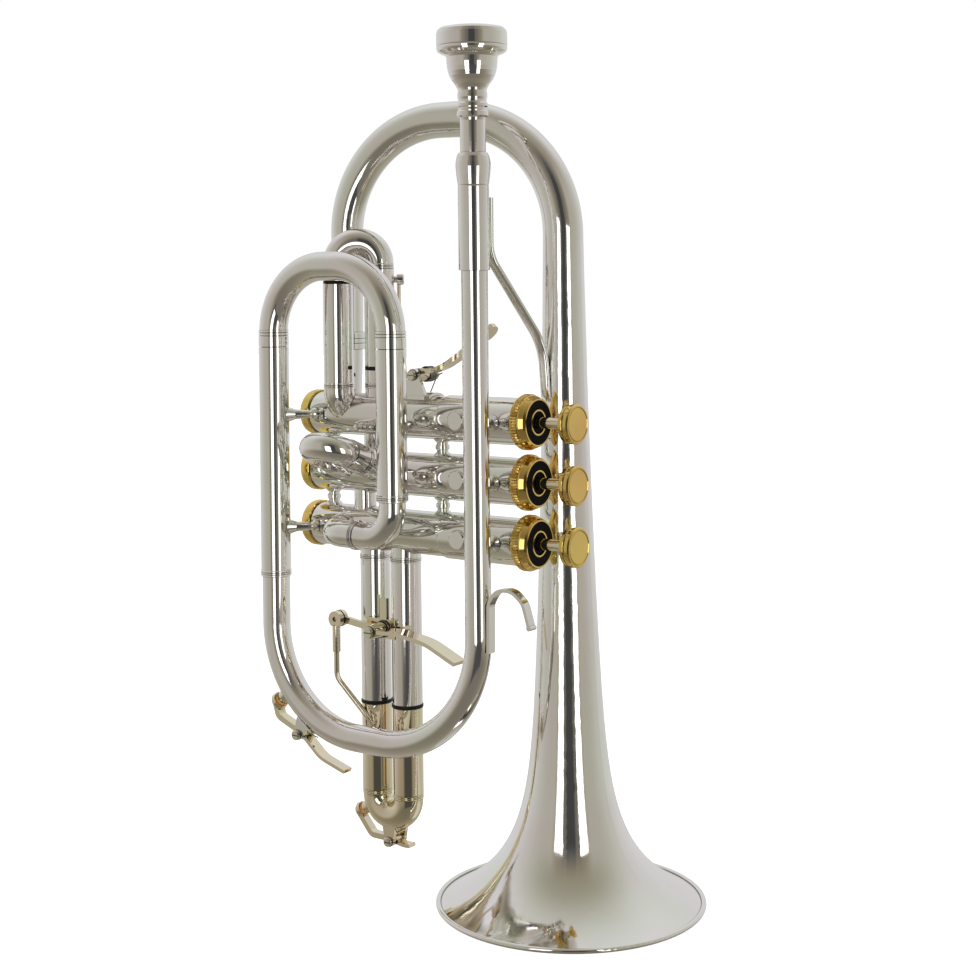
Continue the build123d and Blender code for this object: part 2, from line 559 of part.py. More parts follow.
def build_hook():
    """The little-finger hook: a flat band soldered up the leadpipe that arches over and down."""
    points = [(-8.4, 118.7), (-8.1, 139.8), (-4.0, 146.2), (3.9, 146.6), (9.8, 142.0), (12.8, 132.0)]
    path = FilletPolyline(*[at(v, LEAD_S, z) for v, z in points], radius=[6, 7, 8, 8])
    flat = Plane(origin=path @ 0, x_dir=Vector(1, 0, 0), z_dir=path % 0)
    band = sweep(flat * Rectangle(1.5, 4.4), path=path)
    tip = Pos(*at(12.9, LEAD_S, 131.8)) * (Rot(90, 0, 0) * Cylinder(1.15, 4.4))
    lead = rod(at(LEAD_V, LEAD_S, 300), at(LEAD_V, LEAD_S, BOW_START), LEAD_RADIUS)
    corners = [at(LEAD_V, LEAD_S, BOW_START), at(LEAD_V, LEAD_S, BOW_BOTTOM), at(FAR_LEG_V, LEAD_S, BOW_BOTTOM)]
    bow = swept(route(corners, [BOW_NEAR_BEND]), LEAD_RADIUS + 0.35)
    save("finger_hook", band + tip - lead - bow)


# ---- the hole each casing needs, as (start, end, radius), for the tubes that join it
PORTS = [
    [(at(*FIRST_FAR, 223.5), at(FIRST_FAR[0], VALVE_S, 214.9), 5.4), (at(*FIRST_NEAR, 215), at(*FIRST_NEAR, 228), 5.4),
     (TAIL_ROUTE[1], TAIL_ROUTE[2], 5.6), (at(LINK_V[0], VALVE_S, 200), at(LINK_V[0], VALVE_S, 214), 4.4)],
    [(second_point(SECOND_V[0], 0), second_point(SECOND_V[0], 14), 5.4),
     (second_point(SECOND_V[1], 0), second_point(SECOND_V[1], 14), 5.4),
     (at(LINK_V[0], VALVE_S, 203), at(LINK_V[0], VALVE_S, 190), 4.4),
     (at(LINK_V[1], VALVE_S, 175), at(LINK_V[1], VALVE_S, 188), 4.4)],
    [(at(*THIRD_FAR, 148), at(*THIRD_FAR, 162), 5.4), (at(*THIRD_NEAR, 148), at(*THIRD_NEAR, 162), 5.4),
     (at(INLET_V, 38, CASING_Z[2]), at(INLET_V, VALVE_S, CASING_Z[2]), 5.4),
     (at(LINK_V[1], VALVE_S, 177), at(LINK_V[1], VALVE_S, 164), 4.4)],
]


# ---- levers
def plate(points, thick, s, width, rounds):
    """A flat strip of the given thickness that follows points in the v-z plane, centred on s and width wide along s."""
    path = route([at(v, s, z) for v, z in points], rounds)
    side = (path % 0).cross(Vector(0, 1, 0))
    flat = Plane(origin=path @ 0, x_dir=side, z_dir=path % 0)
    return sweep(flat * Rectangle(thick, width), path=path)


def gusset(narrow_end, wide_end, narrow, wide, s_low, s_high):
    """A flat web in the v-z plane that widens from one point to another. Its half widths are narrow and wide."""
    way = (wide_end - narrow_end).normalized()
    side = Vector(way.Z, 0, -way.X)
    corners = [narrow_end + side * narrow, narrow_end - side * narrow, wide_end - side * wide, wide_end + side * wide]
    outline = Polyline(*[Vector(point.X, -s_low, point.Z) for point in corners], close=True)
    return extrude(make_face(outline), amount=s_high - s_low, dir=(0, -1, 0))


def hub(v, z, s_low, s_high, radius, bore):
    """A barrel on a pivot that lies along s."""
    long = s_high - s_low
    return turned([(bore, 0), (radius, 0), (radius, long), (bore, long)], at(v, s_low, z), Vector(0, -1, 0))


def pivot_screw(v, z, s_low, s_high, shank, head):
    """A slotted screw along s with its head at the +s end."""
    long = s_high - s_low
    profile = [(0, 0), (shank, 0), (shank, long), (head, long), (head, long + 1.2), (head - 0.4, long + 1.6),
               (0, long + 1.6)]
    body = turned(profile, at(v, s_low, z), Vector(0, -1, 0))
    slot = Pos(*at(v, s_high + 1.5, z)) * Box(2.4 * head, 0.9, 0.6)
    return body - slot


PIVOT_BORE = 1.3
PIVOT_SHANK = 1.25
TRIGGER_1 = (-63.0, 235.4)    # v and z of its pivot
TRIGGER_1_ROD = (-81.0, 17.0)  # v and s of the rod on the first slide
TRIGGER_3 = (-80.2, 118.5)
TRIGGER_3_S = 37.8
TRIGGER_3_ROD_V = -103.8
KEY_1 = (-115.9, 69.0)
KEY_1_CUP = (-131.3, 81.6)
KEY_1_REACH = BOW_FAR_BEND + BOW_RADIUS + 2.6   # the nipple's end, from the bend's centre
KEY_2 = (-80.3, 20.0)
KEY_2_NIPPLE = math.radians(208.0)
KEY_2_REACH = 18.6
KNOB_WAY = Vector(TRIGGER_1_ROD[0] - FIRST_NEAR[0], FIRST_NEAR[1] - TRIGGER_1_ROD[1], 0).normalized()
THIRD_MIDDLE = (THIRD_FAR[0] + THIRD_NEAR[0]) / 2


def build_trigger_1():
    """The thumb saddle on the first valve, its bracket, and the rod up to the slide's knob."""
    v, z = TRIGGER_1
    top = CASING_Z[0]
    pivot = rod(at(v, 8, z), at(v, 45, z), PIVOT_SHANK)
    foot = Pos(*at(v + 1, VALVE_S, top + 10)) * Box(17, 11, 6) & plug(11.4, v - 9, v + 11, top)
    web = gusset(at(v, 0, z), at(v + 1, 0, top + 9), 2.9, 6.4, VALVE_S + 3.4, VALVE_S + 5.4)
    bracket = foot + web + hub(v, z, VALVE_S + 3.4, VALVE_S + 5.4, 3.0, PIVOT_SHANK)
    save("trigger_1_bracket", bracket - casing_block(top) - pivot)

    arm = [(v + 1, z + 1.9), (-55, z + 1.9), (-48, 239.6), (-40.4, 244.0), (-32, 249.6), (-25.6, 254.6)]
    lever = plate(arm, 2.2, VALVE_S - 0.4, 6.4, [12, 25, 30, 30])
    lever += Pos(*at(-24.8, VALVE_S, 254.6)) * (Rot(0, -44, 0) * Cylinder(5.4, 2.0))
    inner = TRIGGER_1_ROD[1] - 3.2
    lever += hub(v, z, inner, VALVE_S + 3.1, 3.0, PIVOT_BORE)
    eye_z = z - 1.4
    lever += plate([(v - 1.4, z - 0.4), (TRIGGER_1_ROD[0], eye_z)], 2.0, inner + 1.1, 2.2, [])
    lever += hub(TRIGGER_1_ROD[0], eye_z, inner, inner + 2.2, 2.2, 0.9)
    save("trigger_1_lever", lever - rod(at(v, 8, z), at(v, 45, z), PIVOT_BORE))

    link = rod(at(*TRIGGER_1_ROD, eye_z + 1.6), at(*TRIGGER_1_ROD, 279.5), 0.9)
    link += hub(TRIGGER_1_ROD[0], eye_z, TRIGGER_1_ROD[1] - 0.7, TRIGGER_1_ROD[1] + 0.9, 2.2, 0.8)
    save("trigger_1_rod", link)


def build_trigger_3():
    """The finger paddle between the third slide's tubes, its bracket, and the rod down to the slide."""
    v, z = TRIGGER_3
    inner = TRIGGER_3_S - 4.2
    saddle = Pos(*at(THIRD_MIDDLE, inner - 3.2, z)) * Box(15.5, 3.4, 9)
    for leg in (THIRD_FAR, THIRD_NEAR):
        saddle -= rod(at(*leg, 90), at(*leg, 150), SLEEVE_RADIUS)
    stub = hub(v, z, inner - 3.2, inner - 0.3, 3.3, PIVOT_SHANK)
    arch = Pos(*at(THIRD_MIDDLE + 1.3, inner - 2.2, z + 9)) * Box(4, 1.8, 10)
    save("trigger_3_bracket", saddle + stub + arch - rod(at(v, 15, z), at(v, 45, z), PIVOT_SHANK))

    left = plate([(TRIGGER_3_ROD_V, z + 2.9), (-92, z + 1.4), (v, z)], 3.0, inner + 1.2, 2.2, [40])
    right = plate([(v, z), (-66, z + 0.8), (-49, z - 1.6), (-32.4, z - 8.9)], 1.8, TRIGGER_3_S, 8.4, [40, 34])
    lever = left + right + hub(v, z, inner, inner + 8.4, 3.3, PIVOT_BORE)
    lever += hub(TRIGGER_3_ROD_V, z + 2.9, inner + 0.1, inner + 2.3, 3.9, 1.3)
    save("trigger_3_lever", lever - rod(at(v, 25, z), at(v, 50, z), PIVOT_BORE))

    eye = at(TRIGGER_3_ROD_V, inner + 4.2, z + 2.9)
    link = hub(TRIGGER_3_ROD_V, z + 2.9, inner + 2.8, inner + 5.6, 3.7, 1.2)
    link += rod(eye - Vector(0, 0, 2.9), eye - Vector(0, 0, 15), 1.9)
    wire = [eye - Vector(0, 0, 14), eye - Vector(0, 0, 27), at(-88.0, VALVE_S + 5.9, 73.0)]
    link += swept(route(wire, [8]), 1.3)
    save("trigger_3_rod", link - rod(at(*THIRD_FAR, 60), at(*THIRD_FAR, 90), SLEEVE_RADIUS))


def water_key(name, pivot, elbow, face, way, tip, s, scale):
    """A water key's cork and lever. The cork closes on the nipple at face, and the blade runs on to its tip."""
    v, z = pivot
    cork = turned([(0, 0.05), (3.1 * scale, 0.05), (3.3 * scale, 0.6), (3.3 * scale, 2.9), (0, 2.9)], face, way)
    save(f"{name}_cork", cork)
    lever = turned([(0, 2.9), (3.3 * scale, 2.9), (3.3 * scale, 1.6), (4.0 * scale, 1.6), (4.2 * scale, 3.4),
                    (3.2 * scale, 4.8), (0, 5.2)], face, way)
    back = face + way * 4.2
    lever += plate([(back.X, back.Z), elbow, pivot], 2.6, s, 4.6 * scale, [4])
    middle = (v + 0.45 * (tip[0] - v), z + 0.62 * (tip[1] - z) - 1.0)
    lever += plate([pivot, middle, tip], 1.6, s, 5.6 * scale, [16])
    lever += hub(v, z, s - 1.9, s + 1.9, 2.3 * scale, PIVOT_BORE)
    for low in (s - 5.0, s + 1.9):
        lever -= rod(at(v, low, z), at(v, low + 3.1, z), 2.7)
    save(f"{name}_lever", lever - rod(at(v, s - 8, z), at(v, s + 8, z), PIVOT_BORE) - cork)


def key_ears(pivot, root, s, body):
    """The two ears that carry a water key's screw. They run from root to the pivot and are trimmed by body."""
    v, z = pivot
    ears = []
    for low in (s - 5.2, s + 3.2):
        ear = gusset(at(v, 0, z), Vector(root.X, 0, root.Z), 2.3, 4.4, low, low + 2)
        ear += hub(v, z, low, low + 2, 2.5, PIVOT_SHANK)
        ears.append(ear - body - rod(at(v, s - 9, z), at(v, s + 9, z), PIVOT_SHANK))
    return ears


def build_water_keys():
    centre = at(FAR_LEG_V + BOW_FAR_BEND, LEAD_S, BOW_BOTTOM + BOW_FAR_BEND)
    way = (at(KEY_1_CUP[0], LEAD_S, KEY_1_CUP[1]) - centre).normalized()
    face = centre + way * KEY_1_REACH
    bend = swept(route([at(FAR_LEG_V, LEAD_S, 125), at(FAR_LEG_V, LEAD_S, BOW_BOTTOM), at(-78, LEAD_S, BOW_BOTTOM)],
                       [BOW_FAR_BEND]), BOW_RADIUS)
    nipple = turned([(1.6, -5), (3.2, -5), (3.2, -1), (2.9, 0), (1.6, 0)], face, way) - bend
    root = centre + (at(KEY_1[0], LEAD_S, KEY_1[1]) - centre).normalized() * (BOW_FAR_BEND + 4)
    save("water_key_1_mounts", nipple, *key_ears(KEY_1, root, LEAD_S, bend))
    water_key("water_key_1", KEY_1, (-130.6, 74.7), face, way, (-90.0, 55.2), LEAD_S, 1.0)

    centre = at(THIRD_MIDDLE, VALVE_S, THIRD_BEND_Z)
    way = Vector(math.cos(KEY_2_NIPPLE), 0, math.sin(KEY_2_NIPPLE))
    half = (THIRD_NEAR[0] - THIRD_FAR[0]) / 2
    bend = swept(ThreePointArc(at(*THIRD_FAR, THIRD_BEND_Z), at(THIRD_MIDDLE, VALVE_S, THIRD_BEND_Z - half),
                               at(*THIRD_NEAR, THIRD_BEND_Z)), 6.8)
    root = at(KEY_2[0], VALVE_S, KEY_2[1] + 10)
    save("water_key_2_mounts", *key_ears(KEY_2, root, VALVE_S, bend))
    water_key("water_key_2", KEY_2, (-93.4, 20.0), centre + way * KEY_2_REACH, way, (-70.6, 18.7), VALVE_S, 0.85)


def build_screws():
    """The pivot screws of the two triggers and of both water keys."""
    save("pivot_screws", pivot_screw(*TRIGGER_1, TRIGGER_1_ROD[1] - 2.0, VALVE_S + 5.5, PIVOT_SHANK, 2.4),
         pivot_screw(*TRIGGER_3, TRIGGER_3_S - 6.4, TRIGGER_3_S + 4.4, PIVOT_SHANK, 2.6),
         pivot_screw(*KEY_1, LEAD_S - 5.2, LEAD_S + 5.4, PIVOT_SHANK, 2.3))
    save("water_key_2_screw", pivot_screw(*KEY_2, VALVE_S - 5.2, VALVE_S + 5.4, PIVOT_SHANK, 2.1))


build_bell()
build_leadpipe()
build_mouthpiece()
build_tuning()
for index, casing_z in enumerate(CASING_Z):
    build_casing(index + 1, casing_z, PORTS[index])
    build_piston(index + 1, casing_z)
    build_stem(index + 1, casing_z)
    build_spring(index + 1, casing_z)
build_caps()
build_guides()
build_first_slide()
build_second_slide()
build_third_slide()
build_links()
build_braces()
build_crook_brace()
build_hook()
build_trigger_1()
build_trigger_3()
build_water_keys()
build_screws()
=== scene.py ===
"""The looks of a shepherd's-crook cornet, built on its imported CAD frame. Lengths are in metres."""
import json
import math

import bpy
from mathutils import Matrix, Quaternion, Vector


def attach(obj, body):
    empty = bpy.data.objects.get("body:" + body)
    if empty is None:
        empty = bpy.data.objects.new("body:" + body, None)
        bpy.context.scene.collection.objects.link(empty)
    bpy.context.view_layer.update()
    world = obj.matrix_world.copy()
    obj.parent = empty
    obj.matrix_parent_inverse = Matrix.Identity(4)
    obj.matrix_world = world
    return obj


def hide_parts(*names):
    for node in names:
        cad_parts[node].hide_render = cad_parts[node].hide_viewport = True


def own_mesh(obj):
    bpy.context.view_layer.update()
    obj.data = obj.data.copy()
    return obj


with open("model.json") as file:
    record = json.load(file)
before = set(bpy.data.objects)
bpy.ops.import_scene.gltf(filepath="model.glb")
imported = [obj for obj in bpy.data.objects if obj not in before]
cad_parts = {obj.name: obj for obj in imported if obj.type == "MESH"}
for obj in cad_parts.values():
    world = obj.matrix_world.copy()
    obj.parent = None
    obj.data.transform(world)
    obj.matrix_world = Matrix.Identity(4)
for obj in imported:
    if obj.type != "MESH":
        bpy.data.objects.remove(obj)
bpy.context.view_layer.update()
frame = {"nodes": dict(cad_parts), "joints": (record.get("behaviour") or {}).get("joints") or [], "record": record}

# ---- linear colours: of each metal where it is clean and where it is tarnished
SILVER = (0.93, 0.925, 0.915), (0.90, 0.885, 0.86)
CHAMPAGNE = (0.92, 0.85, 0.69), (0.88, 0.79, 0.59)
GOLD = (0.93, 0.68, 0.21), (0.82, 0.56, 0.18)
BRASS = (0.84, 0.60, 0.24), (0.74, 0.50, 0.18)
PISTON = (0.72, 0.72, 0.71), (0.64, 0.64, 0.62)
SCREW = (0.88, 0.84, 0.74), (0.78, 0.74, 0.64)
WIRE = (0.30, 0.30, 0.29), (0.22, 0.21, 0.2)
# painted shade: the near-black that seams and grooves are darkened to, by their occlusion
PAINTED_SEAM_SHADE = (0.05, 0.045, 0.04)
TINTS = (1.0, 0.965, 0.985), (0.965, 1.0, 0.95)   # plating's faint rose and green

# ---- and the two colours that mix in each other material
FELT = (0.001, 0.001, 0.001), (0.004, 0.0035, 0.003)
RUBBER = (0.008, 0.008, 0.008), (0.02, 0.02, 0.02)
CORK = (0.60, 0.30, 0.08), (0.36, 0.15, 0.035)
PAPER = (0.93, 0.93, 0.93), (0.95, 0.95, 0.95)

# ---- how deep surfaces wave or pit, and how far the painted shade reaches out of a seam
TUBE_WAVE = 0.000006
LATHE_LINE = 0.000004
FELT_PILE = 0.0002
RUBBER_GRAIN = 0.00002
CORK_PIT = 0.0001
PAINTED_SHADE_REACH = 0.0009

# ---- the torsion springs: name, joint, the coil's ends along Y, the coil's and the wire's radius,
# the tips (right, up) of the pivot, and the body that each leg moves with
TORSION_SPRINGS = (
    ("water_key_1_spring", "water_key_1_open", (-0.0501, -0.0492), 0.0020, 0.00025,
     ((0.0109, -0.0002), (0.0079, -0.0051)), ("horn", "water_key_1")),
    ("water_key_2_spring", "water_key_2_open", (-0.0277, -0.0268), 0.0020, 0.00025,
     ((0.0083, 0.0072), (0.0068, -0.0005)), ("third_slide", "water_key_2")),
    ("trigger_3_spring", "trigger_3_turn", (-0.0323, -0.0332), 0.0037, 0.00025,
     ((-0.0078, -0.0055), (0.0085, 0.0002)), ("horn", "trigger_3")),
    ("trigger_1_spring", "trigger_1_turn", (-0.0162, -0.0208), 0.0034, 0.0003,
     ((-0.0010, -0.0095), (0.0100, 0.0008)), ("horn", "trigger_1")),
)
COIL_PITCH = 2.1                  # from turn to turn, in wire radii
STEPS_PER_TURN = 24

# ---- the camera
VIEW_ANGLE = math.radians(36.0)   # how far the camera stands round from the front, towards the buttons
VIEW_DISTANCE = 0.7664
VIEW_RIGHT = -0.0338
VIEW_HEIGHT = 0.2802
FOCAL_LENGTH = 63.17              # for a 36 mm sensor
LENS_SHIFT = -0.2174
CAMERA_ROLL = math.radians(-0.66)

# ---- the studio: two tall soft boxes between the camera and the part, and a dim room round them
BOX_DISTANCE = 0.46               # from the bell's axis towards the camera
BOX_NEAR_EDGE = 0.15              # from the line of sight
BOX_FAR_EDGE = 0.32
BOX_BOTTOM = 0.01
BOX_TOP = 0.357
BOX_RADIANCE = 1.7
FLOOR_GLOW = 0.8                  # keeps the floor as white as the backdrop
FLOOR_GAP = 0.0002                # the floor lies this far under the bell's rim
FLOOR_HALF = 4.0                  # half its side
NEUTRAL_LEVEL = 0.68              # brightness at which the room's light is neutral

# ---- the room's brightness, in smooth steps: (start, end, level at the start, level at the end)
WALL = (50, 150, 0.43, 0.67)      # degrees round from the camera
CEILING = (0.6, -0.6, 0.31, 0.74) # how far a direction points towards the camera, from 1 to -1
GROUND = (0.8, -0.9, 0.18, 0.42)
GAPS = ((25, 45, 0.22), (18, 24, 0.15), (9, 12, 0.055))   # dark between the boxes: degrees, and the level
SHADE = 0.07                      # low behind the camera
GROUND_EDGE = (-30, -6)           # degrees above level, where the ground turns into the wall
CEILING_EDGE = (24, 60)
WARMTH = (("Green", 0.12), ("Blue", 0.42))   # how fast each falls behind red as the level drops
DARK_GREY = (0.06, 0.3)           # below this the light goes neutral again


def node_tree(material):
    """Turns on nodes and returns the tree and its Principled shader."""
    material.use_nodes = True
    return material.node_tree, material.node_tree.nodes["Principled BSDF"]


def noise(tree, scale, detail=2.0, stretch=(1, 1, 1)):
    """A noise texture fixed to the part, with its coordinates stretched."""
    place = tree.nodes.new("ShaderNodeTexCoord")
    mapping = tree.nodes.new("ShaderNodeMapping")
    mapping.inputs["Scale"].default_value = stretch
    texture = tree.nodes.new("ShaderNodeTexNoise")
    texture.inputs["Scale"].default_value = scale
    texture.inputs["Detail"].default_value = detail
    tree.links.new(place.outputs["Object"], mapping.inputs["Vector"])
    tree.links.new(mapping.outputs["Vector"], texture.inputs["Vector"])
    return texture.outputs["Fac"]


def spread(tree, value, low, high, source=(0.35, 0.65)):
    """Maps a noise value onto the range from low to high."""
    mapped = tree.nodes.new("ShaderNodeMapRange")
    mapped.inputs["From Min"].default_value = source[0]
    mapped.inputs["From Max"].default_value = source[1]
    mapped.inputs["To Min"].default_value = low
    mapped.inputs["To Max"].default_value = high
    tree.links.new(value, mapped.inputs["Value"])
    return mapped.outputs["Result"]


def blended(tree, value, first, second):
    """A colour between two, by a noise value."""
    mix = tree.nodes.new("ShaderNodeMix")
    mix.data_type = "RGBA"
    mix.inputs["A"].default_value = (*first, 1)
    mix.inputs["B"].default_value = (*second, 1)
    tree.links.new(spread(tree, value, 0.0, 1.0), mix.inputs["Factor"])
    return mix.outputs["Result"]


def with_painted_seam_shade(tree, colour):
    """Darkens a colour in narrow seams and grooves by how occluded they are: painted shade."""
    occlusion = tree.nodes.new("ShaderNodeAmbientOcclusion")
    occlusion.samples = 8
    occlusion.inputs["Distance"].default_value = PAINTED_SHADE_REACH
    # painted shade: the more occluded the spot, the nearer its colour goes to the near-black
    mix = tree.nodes.new("ShaderNodeMix")
    mix.data_type = "RGBA"
    mix.inputs["A"].default_value = (*PAINTED_SEAM_SHADE, 1)
    tree.links.new(colour, mix.inputs["B"])
    tree.links.new(spread(tree, occlusion.outputs["AO"], 0.0, 1.0, (0.3, 0.85)), mix.inputs["Factor"])
    return mix.outputs["Result"]


def bumped(tree, shader, value, depth):
    """Raises the surface by a noise value, to a depth in metres."""
    bump = tree.nodes.new("ShaderNodeBump")
    bump.inputs["Strength"].default_value = 1.0
    bump.inputs["Distance"].default_value = depth
    tree.links.new(value, bump.inputs["Height"])
    tree.links.new(bump.outputs["Normal"], shader.inputs["Normal"])


def hued(tree, colour):
    """Shifts a plated colour a little towards pink or green, over patches a few centimetres wide."""
    tint = blended(tree, noise(tree, 34, 1), *TINTS)
    mix = tree.nodes.new("ShaderNodeMix")
    mix.data_type = "RGBA"
    mix.blend_type = "MULTIPLY"
    mix.inputs["Factor"].default_value = 1.0
    tree.links.new(colour, mix.inputs["A"])
    tree.links.new(tint, mix.inputs["B"])
    return mix.outputs["Result"]


def polished(name, colours, smooth=0.04, worn=0.10):
    """Plated and polished metal: tarnish in patches, painted shade in seams, wiping marks, and a drawn tube's
    slight waves.

    Its roughness runs from smooth to worn.
    """
    material = bpy.data.materials.new(name)
    tree, shader = node_tree(material)
    shader.inputs["Metallic"].default_value = 1.0
    plate = hued(tree, blended(tree, noise(tree, 28, 4), *colours))
    # painted shade darkens the plate in seams and grooves
    tree.links.new(with_painted_seam_shade(tree, plate), shader.inputs["Base Color"])
    tree.links.new(spread(tree, noise(tree, 160, 6, (1, 1, 0.35)), smooth, worn), shader.inputs["Roughness"])
    bumped(tree, shader, noise(tree, 70, 1), TUBE_WAVE)
    return material


def turned_metal(name, colours, rough):
    """Metal with a lathe's fine lines round the valve axis."""
    material = bpy.data.materials.new(name)
    tree, shader = node_tree(material)
    shader.inputs["Metallic"].default_value = 1.0
    shader.inputs["Anisotropic"].default_value = 0.4
    tree.links.new(blended(tree, noise(tree, 60, 5), *colours), shader.inputs["Base Color"])
    lines = noise(tree, 900, 3, (0.2, 1, 1))
    tree.links.new(spread(tree, lines, rough * 0.7, rough * 1.4), shader.inputs["Roughness"])
    bumped(tree, shader, noise(tree, 2600, 2, (0.1, 1, 1)), LATHE_LINE)
    return material


def felt():
    """Black felt: matte fibres with a little sheen."""
    material = bpy.data.materials.new("black_felt")
    tree, shader = node_tree(material)
    shader.inputs["Roughness"].default_value = 0.95
    shader.inputs["Specular IOR Level"].default_value = 0.1
    shader.inputs["Sheen Weight"].default_value = 0.04
    tree.links.new(blended(tree, noise(tree, 2200, 8), *FELT), shader.inputs["Base Color"])
    bumped(tree, shader, noise(tree, 3200, 8), FELT_PILE)
    return material


def rubber():
    """Black rubber with a faint bloom."""
    material = bpy.data.materials.new("black_rubber")
    tree, shader = node_tree(material)
    tree.links.new(blended(tree, noise(tree, 300, 4), *RUBBER), shader.inputs["Base Color"])
    tree.links.new(spread(tree, noise(tree, 700, 3), 0.35, 0.6), shader.inputs["Roughness"])
    bumped(tree, shader, noise(tree, 1500, 4), RUBBER_GRAIN)
    return material


def cork():
    """Natural cork, with darker grains and small pits."""
    material = bpy.data.materials.new("cork")
    tree, shader = node_tree(material)
    shader.inputs["Roughness"].default_value = 0.8
    tree.links.new(blended(tree, noise(tree, 1500, 5), *CORK), shader.inputs["Base Color"])
    bumped(tree, shader, noise(tree, 2400, 6), CORK_PIT)
    return material


def make_materials():
    """One material for each of the record's slots."""
    return {
        "silver_plate": polished("silver_plate", SILVER),
        "warm_silver_plate": polished("warm_silver_plate", CHAMPAGNE),
        "gold_plate": polished("gold_plate", GOLD, 0.08, 0.18),
        "piston_metal": turned_metal("piston_metal", PISTON, 0.22),
        "guide_metal": turned_metal("guide_metal", BRASS, 0.3),
        "spring_steel": polished("spring_steel", SCREW, 0.08, 0.18),
        "black_felt": felt(),
        "black_rubber": rubber(),
        "cork": cork(),
    }


def dress_frame(materials):
    """Gives each CAD node the material of its slot in the record."""
    for part in frame["record"]["subparts"]:
        mesh = frame["nodes"][part["node"]].data
        mesh.materials.clear()
        mesh.materials.append(materials[part["material_slot"]])


def make_floor():
    """A large pale floor just under the bell's rim."""
    mesh = bpy.data.meshes.new("floor")
    corners = [(x * FLOOR_HALF, y * FLOOR_HALF, 0) for x, y in ((-1, -1), (1, -1), (1, 1), (-1, 1))]
    mesh.from_pydata(corners, [], [(0, 1, 2, 3)])
    floor = bpy.data.objects.new("floor", mesh)
    floor.location.z = -FLOOR_GAP
    bpy.context.scene.collection.objects.link(floor)
    material = bpy.data.materials.new("floor")
    tree, shader = node_tree(material)
    shader.inputs["Roughness"].default_value = 0.9
    shader.inputs["Specular IOR Level"].default_value = 0.1
    tree.links.new(blended(tree, noise(tree, 6, 2), *PAPER), shader.inputs["Base Color"])
    shader.inputs["Emission Color"].default_value = (1, 1, 1, 1)
    shader.inputs["Emission Strength"].default_value = FLOOR_GLOW
    mesh.materials.append(material)
    floor.visible_glossy = False


def calculate(tree, operation, first, second=None):
    """A math node on sockets or numbers."""
    node = tree.nodes.new("ShaderNodeMath")
    node.operation = operation
    for index, value in enumerate((first, second)):
        if isinstance(value, (int, float)):
            node.inputs[index].default_value = value
        elif value is not None:
            tree.links.new(value, node.inputs[index])
    return node.outputs[0]


def smooth_step(tree, value, start, end, low, high):
    """Goes smoothly from low to high as value goes from start to end."""
    node = tree.nodes.new("ShaderNodeMapRange")
    node.interpolation_type = "SMOOTHSTEP"
    for name, number in (("From Min", start), ("From Max", end), ("To Min", low), ("To Max", high)):
        node.inputs[name].default_value = number
    tree.links.new(value, node.inputs["Value"])
    return node.outputs["Result"]


def along_z(tree, vector, angle):
    """Turns a direction about Z."""
    turn = tree.nodes.new("ShaderNodeVectorRotate")
    turn.rotation_type = "Z_AXIS"
    turn.inputs["Angle"].default_value = angle
    tree.links.new(vector, turn.inputs["Vector"])
    return turn.outputs["Vector"]


def between(tree, factor, low, high):
    """Mixes two brightness values by a factor."""
    mix = tree.nodes.new("ShaderNodeMix")
    mix.data_type = "FLOAT"
    for name, value in (("Factor", factor), ("A", low), ("B", high)):
        if isinstance(value, (int, float)):
            mix.inputs[name].default_value = value
        else:
            tree.links.new(value, mix.inputs[name])
    return mix.outputs["Result"]


def degree_step(tree, value, start, end, low, high):
    """A smooth step on an angle, with its ends in degrees."""
    return smooth_step(tree, value, math.radians(start), math.radians(end), low, high)


def warmed(tree, level):
    """A brightness as a colour. Grey walls are warmer than bright ones, and dark gaps are neutral."""
    combine = tree.nodes.new("ShaderNodeCombineColor")
    tree.links.new(level, combine.inputs["Red"])
    relative = calculate(tree, "MINIMUM", calculate(tree, "DIVIDE", level, NEUTRAL_LEVEL), 1.0)
    amount = smooth_step(tree, level, *DARK_GREY, 0, 1)
    for name, power in WARMTH:
        tint = calculate(tree, "POWER", relative, calculate(tree, "MULTIPLY", amount, power))
        tree.links.new(calculate(tree, "MULTIPLY", level, tint), combine.inputs[name])
    return combine.outputs["Color"]


